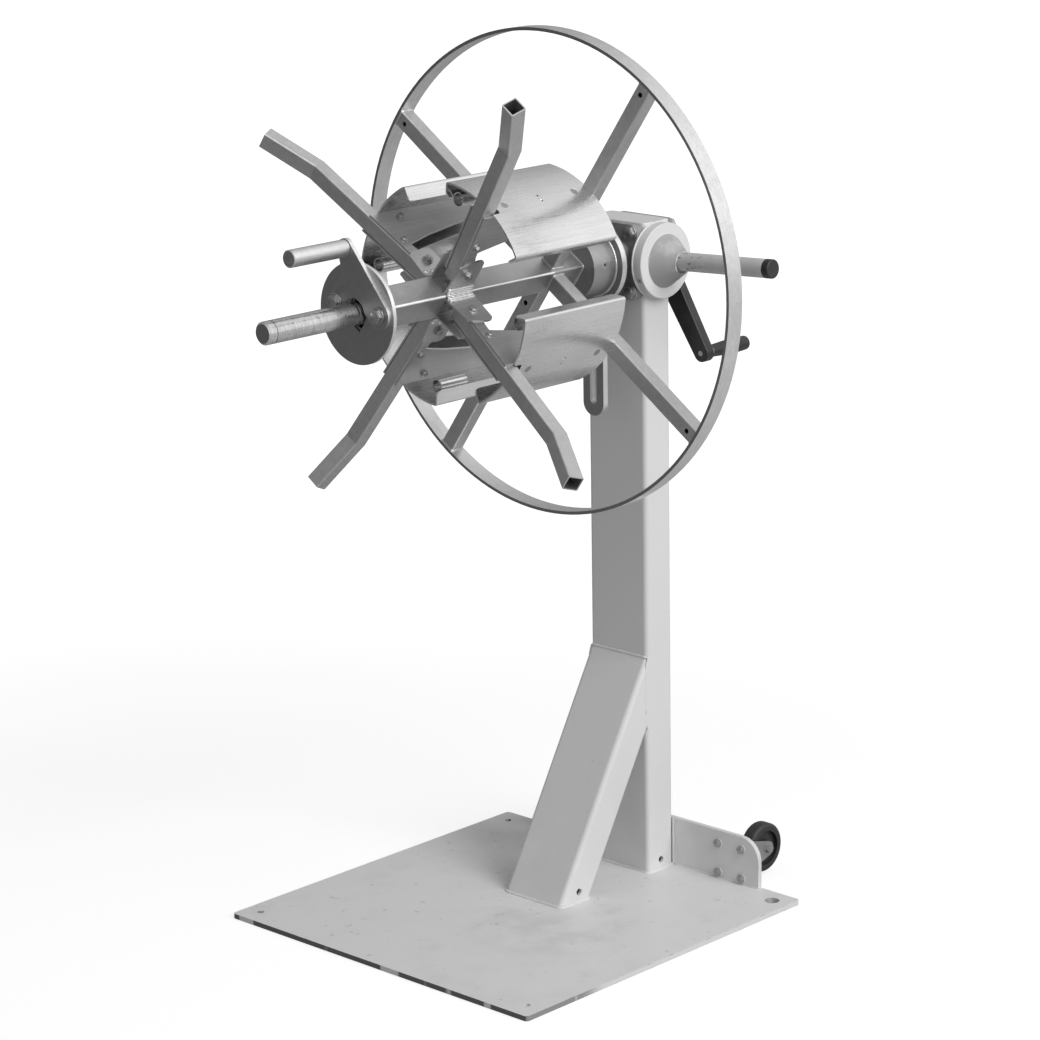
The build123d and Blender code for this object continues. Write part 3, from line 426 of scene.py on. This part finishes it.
# White metal for the bracket ridges, brighter than weld metal is: a painted highlight
painted_highlight_weld = brushed(
    "painted_highlight_weld", 1.0, 0.33, grain=(300, 300, 300), contrast=0.04, blotch=0.06
)
dull_weld = brushed("dull_weld", 0.62, 0.42, grain=(300, 300, 300), contrast=0.12, blotch=0.25)
stub_metal = brushed("stub_steel", 0.86, 0.26, grain=(200, 12, 200), contrast=0.08, blotch=0.10)
ground_metal = brushed("ground_steel", 0.45, 0.30, grain=(60, 400, 60))
zinc = brushed("zinc_fasteners", 0.40, 0.44, grain=(150, 150, 150), bright_edge=0.5)
grip_metal = brushed("grip_aluminium", 0.70, 0.38, grain=(60, 300, 60), contrast=0.05)
iron = cast("cast_housing", 0.26)
rubber = moulded("wheel_rubber", 0.022, 0.55)
plastic = moulded("crank_plastic", 0.014, 0.38)
cap_plastic = moulded("cap_plastic", 0.020, 0.45)

cover(("base_plate", "post", "post_cap", "brace", "wheel_bracket"), paint)
cover(("handle_boss_left", "handle_boss_right", "handle_rod_left", "handle_rod_right"), paint)
cover(("castor_bolts", "castor_axles", "castor_fork_left", "castor_fork_right"), zinc)
cover(("bearing_bolts", "pivot_bolts", "shell_screws"), zinc)
cover(("crank_bolts", "rear_grip_pin", "driver_screw"), zinc)
cover(("wheel_left", "wheel_right"), rubber)
cover(("front_bearing", "rear_bearing"), iron)
cover(("bearing_races", "hub_bushes", "front_grip_pin"), ground_metal)
cover(("spindle",), spindle_metal)
cover(("handle_cap_left", "handle_cap_right"), cap_plastic)
cover(("rear_crank", "rear_grip"), plastic)
cover(("front_grip",), grip_metal)
cover(("front_disc", "crank_plate", "driver_plate"), plate_metal)
cover(("driver_barrel",), barrel_metal)
cover(("hub_tube", "hub_sleeve"), hub_metal)
cover(numbered("rear_arm") + numbered("front_arm"), tube_metal)
cover(("stub_tubes",), stub_metal)
cover(("ring",), ring_metal)
cover(numbered("corner_bracket") + numbered("shell_leg"), sheet_metal)
cover(numbered("shell"), shell_metal)

# Unit vectors, and the point of the spindle axis above the origin
x_way = Vector((1, 0, 0))
y_way = Vector((0, 1, 0))
z_way = Vector((0, 0, 1))
spindle = Vector((0, 0, spindle_height))


def outward(angle):
    """Unit vector from the spindle axis at an angle from +X towards +Z."""
    return Vector((cos(radians(angle)), 0, sin(radians(angle))))


def across(angle):
    """Unit vector square to outward, towards larger angles."""
    return Vector((-sin(radians(angle)), 0, cos(radians(angle))))


def reel_point(angle, radius, side, y):
    """Point of the reel from its arm angle, radius, sideways offset and place along the spindle."""
    return Vector((0, y, spindle_height)) + outward(angle) * radius + across(angle) * side


def finished(name, shape, material, body):
    """Object from a finished bmesh, smooth, with its finish, riding on a body."""
    bmesh.ops.recalc_face_normals(shape, faces=shape.faces)
    mesh = bpy.data.meshes.new(name)
    shape.to_mesh(mesh)
    shape.free()
    for face in mesh.polygons:
        face.use_smooth = True
    piece = bpy.data.objects.new(name, mesh)
    bpy.context.scene.collection.objects.link(piece)
    mesh.materials.append(material)
    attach(piece, body)
    return piece


def pairs(items, closed):
    """Neighbours in a row, with the last and the first where the row is closed."""
    return list(zip(items, items[1:] + items[:1])) if closed else list(zip(items, items[1:]))


def spaced(points, closed, step):
    """Points about one step apart along a line of straight runs."""
    walk = []
    for start, end in pairs(points, closed):
        count = max(1, round((end - start).length / step))
        walk += [start.lerp(end, index / count) for index in range(count)]
    return walk if closed else walk + [points[-1]]


def bridge(shape, rings, closed):
    """Faces between neighbouring rings of vertices, and caps on an open row."""
    for first, second in pairs(rings, closed):
        count = len(first)
        for index in range(count):
            following = (index + 1) % count
            corners = (first[index], first[following], second[following], second[index])
            shape.faces.new(corners)
    if not closed:
        shape.faces.new(rings[0])
        shape.faces.new(rings[-1])


def seams(name, lines, girth, material, slot, body, pitch=0.0045, closed=True, unevenness=0.16):
    """Weld beads along lines: round beads whose girth follows the ripples of the weld."""
    shape = bmesh.new()
    for number, points in enumerate(lines):
        walk = spaced(points, closed, bead_step)
        last = len(walk) - 1
        side = None
        travelled = 0.0
        rings = []
        for index, point in enumerate(walk):
            before = walk[index - 1] if closed or index else point
            after = walk[(index + 1) % len(walk)] if closed or index < last else point
            along = (after - before).normalized()
            side = along.orthogonal() if side is None else side - along * side.dot(along)
            side.normalize()
            up = along.cross(side)
            travelled += (point - before).length if index else 0.0
            ripple = 0.10 * cos(2 * pi * travelled / pitch)
            drift = unevenness * noise.noise(Vector((travelled * 90, number * 7.3, 0)))
            radius = girth * (1 + ripple + drift)
            ring = []
            for corner in range(bead_sides):
                turn = 2 * pi * corner / bead_sides
                out = side * radius * cos(turn) + up * radius * sin(turn)
                ring.append(shape.verts.new(point + out))
            rings.append(ring)
        bridge(shape, rings, closed)
    return finished(name, shape, material, body)


def round_square(centre, first, second, half_first, half_second, corner):
    """Closed line round a section with rounded corners."""
    points = []
    for quarter, (sign_first, sign_second) in enumerate(((1, 1), (-1, 1), (-1, -1), (1, -1))):
        for step in range(4):
            turn = (quarter + step / 3) * pi / 2
            out_first = sign_first * (half_first - corner) + corner * cos(turn)
            out_second = sign_second * (half_second - corner) + corner * sin(turn)
            points.append(centre + first * out_first + second * out_second)
    return points


def round_line(centre, first, second, radius, count=60):
    """Closed circle in the plane of two directions."""
    turns = [2 * pi * index / count for index in range(count)]
    return [centre + first * radius * cos(turn) + second * radius * sin(turn) for turn in turns]


def turned(name, places, profile, material, body, sides=24):
    """Turned parts with one closed profile of radius and height, at each place and axis."""
    shape = bmesh.new()
    for centre, axis in places:
        first = axis.orthogonal().normalized()
        second = axis.cross(first)
        rings = []
        for radius, height in profile:
            ring = []
            for index in range(sides):
                turn = 2 * pi * index / sides
                out = first * radius * cos(turn) + second * radius * sin(turn)
                ring.append(shape.verts.new(centre + axis * height + out))
            rings.append(ring)
        bridge(shape, rings, profile[0][0] > axis_gap)
    return finished(name, shape, material, body)


def zinc_turned(name, places, profile, body="reel", sides=24):
    """Turned zinc-plated parts."""
    return turned(name, places, profile, zinc, body, sides)


def washer(outer, inner, thick):
    """Closed profile of a washer with eased edges."""
    ease = thick / 4
    return ((inner, 0), (outer, 0), (outer, thick - ease), (outer - ease, thick), (inner, thick))


def head_cap(flats, height):
    """Raised round of a hexagon head: a low disc with a chamfer."""
    radius = flats / 2 * 0.93
    eased = radius - 0.0006
    low, top = height - 0.001, height + 0.0005
    return ((axis_gap, low), (radius, low), (radius, height), (eased, top), (axis_gap, top))


def plain_rod(radius, low, high):
    """Closed profile of a plain solid rod."""
    return ((axis_gap, low), (radius, low), (radius, high), (axis_gap, high))


def ground_seams():
    """Weld metal ground flush where brace and post meet, over the post's rounded corner."""
    shape = bmesh.new()
    low, high = brace_seam
    heights = (
        (low + 0.002, 0.0),
        (low + 0.016, 0.004),
        (high - 0.013, 0.004),
        (high - 0.001, -0.001),
    )
    edge = post_half_x + 0.0003
    for side in (-1, 1):
        rings = []
        for height, ahead in heights:
            places = (
                (edge, post_front - ahead),
                (edge, post_front + 0.009),
                (post_half_x - 0.0003, post_front + 0.018),
                (post_half_x - 0.004, post_front + 0.010),
                (post_half_x - 0.010, post_front + 0.0002),
            )
            rings.append([shape.verts.new((side * x, y, height)) for x, y in places])
        bridge(shape, rings, False)
    filler = finished("ground_seams", shape, paint, "stand")
    for face in filler.data.polygons:
        face.use_smooth = False


def stand_welds():
    """Painted fillet welds of the stand."""
    finish = (paint, "stand_paint", "stand")
    post = Vector((0, post_mid, plate_top))
    post_depth = (post_rear - post_front) / 2
    brace = Vector((0, sum(brace_foot) / 2, plate_top))
    brace_depth = (brace_foot[1] - brace_foot[0]) / 2
    beside = post_half_x + 0.0005
    feet = [
        round_square(post, x_way, y_way, beside, post_depth + 0.0005, 0.008),
        round_square(brace, x_way, y_way, beside, brace_depth, 0.008),
    ]
    seams("foot_welds", feet, 0.0028, *finish)
    roots = [spindle + x_way * side * beside + y_way * post_mid for side in (-1, 1)]
    bosses = [round_line(root, y_way, z_way, boss_radius) for root in roots]
    seams("boss_welds", bosses, 0.0018, *finish)
    lines = []
    for side in (-1, 1):
        end = wheel_bracket_ends[0] + 0.003 if side < 0 else wheel_bracket_ends[1] - 0.003
        start = side * (post_half_x + 0.002)
        corner = side * post_half_x
        lines.append([Vector((x, post_rear, plate_top)) for x in (start, end)])
        lines.append([Vector((corner, post_rear, z)) for z in (plate_top, wheel_bracket_top)])
    inside = post_half_x - 0.004
    for height in brace_seam:
        lines.append([Vector((side * inside, post_front, height)) for side in (-1, 1)])
    seams("stand_welds", lines, 0.0020, *finish, closed=False)
    ground_seams()
    tips = [spindle + x_way * side * cone_front + y_way * post_mid for side in (-1, 1)]
    collars = [round_line(tip, y_way, z_way, handle_radius + 0.0022, 40) for tip in tips]
    seams("handle_collars", collars, 0.0026, *finish, pitch=0.02, unevenness=0.05)


def reel_welds():
    """Weld beads of the reel, weld runs on the corner brackets and plug welds in the shells."""
    joints = []
    for angle in arm_angles:
        for radius in (ring_inner - 0.0003, hub_half + 0.0003):
            centre = reel_point(angle, radius, 0, ring_mid)
            joints.append(round_square(centre, across(angle), y_way, arm_half, arm_half, 0.003))
    first, second = outward(arm_angles[0]), across(arm_angles[0])
    for place, half in ((disc_rear, sleeve_half), (hub_end, hub_half)):
        reach = half + 0.0003
        joints.append(round_square(spindle + y_way * place, first, second, reach, reach, 0.004))
    seams("reel_welds", joints, 0.0021, dull_weld, "tube_steel", "reel", unevenness=0.30)
    rim = [round_line(spindle + y_way * driver_front, x_way, z_way, barrel_radius, 90)]
    seams("barrel_weld", rim, 0.0028, dull_weld, "plate_steel", "reel")
    runs = ((0.0240, 0.0240), (0.0276, 0.0214), (0.0318, 0.0210))
    ends = (corner_bracket_span[0] + 0.001, corner_bracket_span[1] - 0.004)
    ridges = []
    for angle in arm_angles:
        for out, side in [*runs, *((side, out) for out, side in runs[1:])]:
            ridges.append([reel_point(angle, out, side, y) for y in ends])
    # The ridges are white metal: a painted highlight
    finish = (painted_highlight_weld, "sheet_steel", "reel")
    seams("bracket_ridges", ridges, 0.0025, *finish, pitch=0.011, closed=False)
    radius, along = slot_place
    plugs = [[reel_point(angle, radius, side, along) for side in (-slot_half, slot_half)]
             for angle in arm_angles]
    seams("plug_welds", plugs, 0.0030, shell_metal, "shell_sheet", "reel", closed=False)


def both_sides(angle, place, out):
    """Places and outward axes on the two sides of an arm."""
    return [(reel_point(angle, place[0], side * out, place[1]), across(angle) * side)
            for side in (-1, 1)]


def washers():
    """Washers, the raised rounds of the bolt heads and the bolts through the channel legs."""
    large_head = head_cap(0.0186, 0.0078)
    middle_head = head_cap(0.0124, 0.0052)
    small_flats = 0.0093
    small_head = head_cap(small_flats, 0.0039)
    offsets = (-bearing_bolt, bearing_bolt)
    corners = [(x, z) for x in offsets for z in offsets]
    flanges = []
    for face, way in zip(bearing_faces, (-y_way, y_way)):
        flanges += [(spindle + Vector((x, face, z)), way) for x, z in corners]
    zinc_turned("bearing_washers", flanges, washer(0.0120, 0.0065, 0.0024), "stand")
    zinc_turned("bearing_heads", flanges, large_head, "stand")
    offsets = (-castor_bolt, castor_bolt)
    castors = [(Vector((side * castor_x + x, post_rear, castor_z + z)), -y_way)
               for side in (-1, 1) for x in offsets for z in offsets]
    flat = washer(0.0082, 0.0045, 0.0016)
    turned("castor_washers", castors, flat, paint, "stand")
    zinc_turned("castor_heads", castors, middle_head, "stand")
    cranks = [(spindle + Vector((x, crank_face, z)), -y_way) for x, z in crank_bolts]
    zinc_turned("crank_washers", cranks, washer(0.0120, 0.0065, 0.0022))
    zinc_turned("crank_heads", cranks, large_head)
    pivots, clamps, legs = [], [], []
    for angle in arm_angles:
        pivots += both_sides(angle, pivot_place, ear_outer)
        clamps += both_sides(angle, clamp_place, cheek_outer)
        legs += both_sides(angle, cheek_bolt_place, cheek_outer)
    zinc_turned("pivot_washers", pivots, washer(0.0083, 0.0045, 0.0015))
    zinc_turned("pivot_heads", pivots[1::2], middle_head)
    zinc_turned("clamp_washers", clamps, washer(0.0063, 0.0035, 0.0012))
    zinc_turned("clamp_heads", clamps, small_head)
    zinc_turned("leg_washers", legs, washer(0.0063, 0.0025, 0.0012))
    leg_height = 0.0042
    zinc_turned("leg_bolts", legs, plain_rod(0.0054, 0, leg_height), sides=6)
    zinc_turned("leg_bolt_heads", legs, head_cap(small_flats, leg_height))
    shank = plain_rod(0.0030, -2 * cheek_outer, 0)
    zinc_turned("leg_bolt_shanks", legs[1::2], shank, sides=12)


stand_welds()
reel_welds()
washers()


def lamp(name, at, target, size, power):
    """Square soft box at a point, turned towards a target."""
    data = bpy.data.lights.new(name, "AREA")
    data.shape = "SQUARE"
    data.size = size
    data.energy = power
    lit = bpy.data.objects.new(name, data)
    bpy.context.scene.collection.objects.link(lit)
    lit.location = at
    lit.rotation_euler = (Vector(target) - Vector(at)).to_track_quat("-Z", "Y").to_euler()


def studio_world():
    """White to the camera, dim and even as light, and bright on the right in reflections."""
    world = bpy.data.worlds.new("studio")
    bpy.context.scene.world = world
    world.use_nodes = True
    world.node_tree.nodes.clear()
    net = Net(world.node_tree)
    towards = tuple(Vector((0.90, 0.35, 0.35)).normalized())
    turned_to = net.measure("DOT_PRODUCT", net.where("Generated"), towards)
    rays = net.add("ShaderNodeLightPath").outputs
    strength = net.choose(rays["Is Glossy Ray"], 0.30, net.ramp(turned_to, -0.5, 0.9, 0.30, 1.0))
    strength = net.choose(rays["Is Transmission Ray"], strength, 1.0)
    strength = net.choose(rays["Is Camera Ray"], strength, 1.0)
    shade = net.add("ShaderNodeBackground", {"Color": (1, 1, 1, 1), "Strength": strength})
    net.feed(net.add("ShaderNodeOutputWorld").inputs[0], shade.outputs[0])


def studio_floor():
    """Pale floor that looks white to the camera and keeps a soft shadow."""
    mesh = bpy.data.meshes.new("floor")
    shape = bmesh.new()
    bmesh.ops.create_grid(shape, x_segments=2, y_segments=2, size=30)
    shape.to_mesh(mesh)
    shape.free()
    floor = bpy.data.objects.new("floor", mesh)
    bpy.context.scene.collection.objects.link(floor)
    floor.location = (0, 0, -0.0005)
    material = bpy.data.materials.new("floor")
    material.use_nodes = True
    material.node_tree.nodes.clear()
    net = Net(material.node_tree)
    rays = net.add("ShaderNodeLightPath").outputs
    spot = net.add("ShaderNodeNewGeometry").outputs["Position"]
    side = net.ramp(net.measure("DOT_PRODUCT", spot, (0.85, 0.55, 0)), -1.5, 2.0)
    away = net.ramp(net.measure("DISTANCE", spot, (0, 0, 0)), 0.8, 3.5)
    pale = net.mix(net.noise(0.8, detail=2.0), grey(0.34), grey(0.36))
    colour = net.mix(rays["Is Camera Ray"], grey(0.42), pale)
    glow = net.choose(rays["Is Glossy Ray"], 0.0, net.times(side, 0.28))
    glow = net.choose(rays["Is Camera Ray"], glow, net.choose(away, 0.76, 1.0))
    both = net.add("ShaderNodeAddShader")
    net.feed(both.inputs[0], net.add("ShaderNodeBsdfDiffuse", {"Color": colour}).outputs[0])
    shine = net.add("ShaderNodeEmission", {"Color": grey(1), "Strength": glow})
    net.feed(both.inputs[1], shine.outputs[0])
    net.feed(net.add("ShaderNodeOutputMaterial").inputs[0], both.outputs[0])
    mesh.materials.append(material)


bpy.context.scene.view_settings.view_transform = "Standard"
aim_camera()
studio_world()
studio_floor()
lamp("key", (5.80, 0.0, 4.65), (0, 0, 0.7), 4.6, 385)
